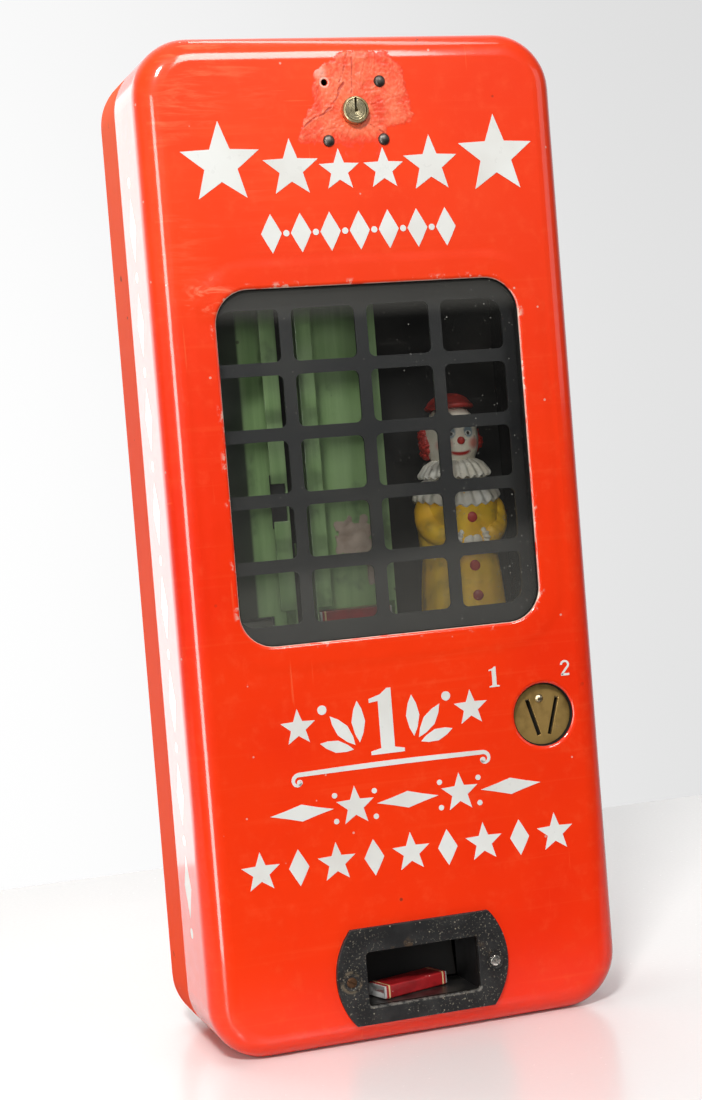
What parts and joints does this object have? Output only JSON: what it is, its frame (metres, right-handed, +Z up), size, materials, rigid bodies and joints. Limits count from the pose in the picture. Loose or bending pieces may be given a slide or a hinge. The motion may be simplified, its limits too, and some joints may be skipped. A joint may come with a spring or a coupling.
{
  "type": "antique gum vending machine",
  "caption": "Tall enamelled coin-operated gum vendor with a pull-off front, barred window, gum columns, clockwork turning clown and delivery cup.",
  "frame": {"origin": "middle of the base, under the bounding box's centre", "axes": "+X to the right seen from the front, +Y from the front towards the back, +Z up"},
  "size_m": [0.22, 0.108, 0.508],
  "materials": {
    "enamel": "glossy worn enamel",
    "black_japan": "black japanned sheet",
    "green_paint": "satin green paint",
    "steel": "plain steel",
    "dark_steel": "darkened steel",
    "nickel": "worn nickel plate",
    "brass": "dull brass",
    "glass": "dusty clear pane",
    "cast_plate": "black painted casting, chipped",
    "figure_paint": "painted composition",
    "packet": "printed paper with foil ends"
  },
  "bodies": {
    "case": {"rear_pan": "enamel", "frame_plate": "black_japan", "frame_spacers": "steel", "frame_screws": "dark_steel", "lock_catch": "steel", "catch_rivets": "dark_steel", "column_left": "green_paint", "column_right": "green_paint", "column_brackets": "green_paint", "bracket_rivets": "dark_steel", "column_shelf": "green_paint", "ejector_guides": "steel", "spring_rods": "steel", "drop_chute": "black_japan", "chute_brackets": "black_japan", "movement_lower_plate": "brass", "movement_upper_plate": "brass", "movement_pillars": "steel", "movement_screws": "dark_steel", "coin_bracket": "brass", "coin_plate": "brass", "coin_plate_rivet": "brass", "coin_chutes": "steel", "coin_lane": "steel", "lever_rod": "steel", "cash_box": "black_japan", "ejector_spring_left": "steel", "ejector_spring_right": "steel"},
    "cover": {"front_shell": "enamel", "window_glass": "glass", "window_grille": "black_japan", "grille_studs": "steel", "grille_nuts": "steel", "lock_plate": "dark_steel", "lock_rivets": "dark_steel", "lock_barrel": "nickel", "lock_nut": "nickel", "chute_plate": "cast_plate", "chute_screws": "steel", "chute_cup": "black_japan"},
    "lock": {"lock_plug": "brass", "lock_cam": "steel"},
    "figure_set": {"figure": "figure_paint", "turntable": "black_japan", "figure_spindle": "steel", "figure_gear": "brass"},
    "main_drive": {"great_wheel": "brass", "spring_barrel": "brass", "main_arbor": "steel", "winding_key": "nickel"},
    "second_drive": {"second_wheel": "brass", "second_arbor": "steel"},
    "fly": {"fly_fan": "brass", "fly_arbor": "steel"},
    "ejector_left_slide": {"ejector_left": "steel"},
    "ejector_right_slide": {"ejector_right": "steel"},
    "column_pack_body": {"column_pack": "packet"},
    "coin_lever_left_body": {"coin_lever_left": "steel"},
    "coin_lever_right_body": {"coin_lever_right": "steel"},
    "gum_pack_body": {"gum_pack": "packet"}
  },
  "joints": [
    {"name": "cover_pull", "type": "slide", "parent": "case", "child": "cover", "axis": [0, -1, 0], "range_m": [0, 0.15]},
    {"name": "lock_turn", "type": "hinge", "parent": "cover", "child": "lock", "pos_m": [0, -0.05, 0.4687], "axis": [0, 1, 0], "range_deg": [0, 180]},
    {"name": "figure_turn", "type": "hinge", "parent": "case", "child": "figure_set", "pos_m": [0.058, 0.004, 0.179], "axis": [0, 0, 1], "continuous": true},
    {"name": "main_turn", "type": "hinge", "parent": "case", "child": "main_drive", "pos_m": [0.0851, 0.004, 0.15], "axis": [0, 0, 1], "continuous": true},
    {"name": "second_turn", "type": "hinge", "parent": "case", "child": "second_drive", "pos_m": [0.06976, 0.01934, 0.15], "axis": [0, 0, 1], "continuous": true},
    {"name": "fly_turn", "type": "hinge", "parent": "case", "child": "fly", "pos_m": [0.05346, 0.01934, 0.15], "axis": [0, 0, 1], "continuous": true},
    {"name": "eject_left", "type": "slide", "parent": "case", "child": "ejector_left_slide", "axis": [0, -1, 0], "range_m": [0, 0.02], "stiffness_N_per_m": 60, "springref_m": -0.004, "deforming": ["ejector_spring_left"]},
    {"name": "eject_right", "type": "slide", "parent": "case", "child": "ejector_right_slide", "axis": [0, -1, 0], "range_m": [0, 0.02], "stiffness_N_per_m": 60, "springref_m": -0.004, "deforming": ["ejector_spring_right"]},
    {"name": "pack_drop", "type": "slide", "parent": "case", "child": "column_pack_body", "axis": [0, -1, 0], "range_m": [0, 0.02]},
    {"name": "coin_lever_left_tip", "type": "hinge", "parent": "case", "child": "coin_lever_left_body", "pos_m": [0.0767, -0.012, 0.092], "axis": [1, 0, 0], "range_deg": [0, 10]},
    {"name": "coin_lever_right_tip", "type": "hinge", "parent": "case", "child": "coin_lever_right_body", "pos_m": [0.0803, -0.012, 0.092], "axis": [1, 0, 0], "range_deg": [0, 10]},
    {"name": "gum_take", "type": "slide", "parent": "cover", "child": "gum_pack_body", "axis": [0, -1, 0], "range_m": [0, 0.06]}
  ],
  "couplings": [
    {"joint": "main_turn", "follows": "figure_turn", "ratio": -0.5},
    {"joint": "second_turn", "follows": "figure_turn", "ratio": 2.5},
    {"joint": "fly_turn", "follows": "figure_turn", "ratio": -12.5},
    {"joint": "pack_drop", "follows": "eject_right", "ratio": 1}
  ]
}
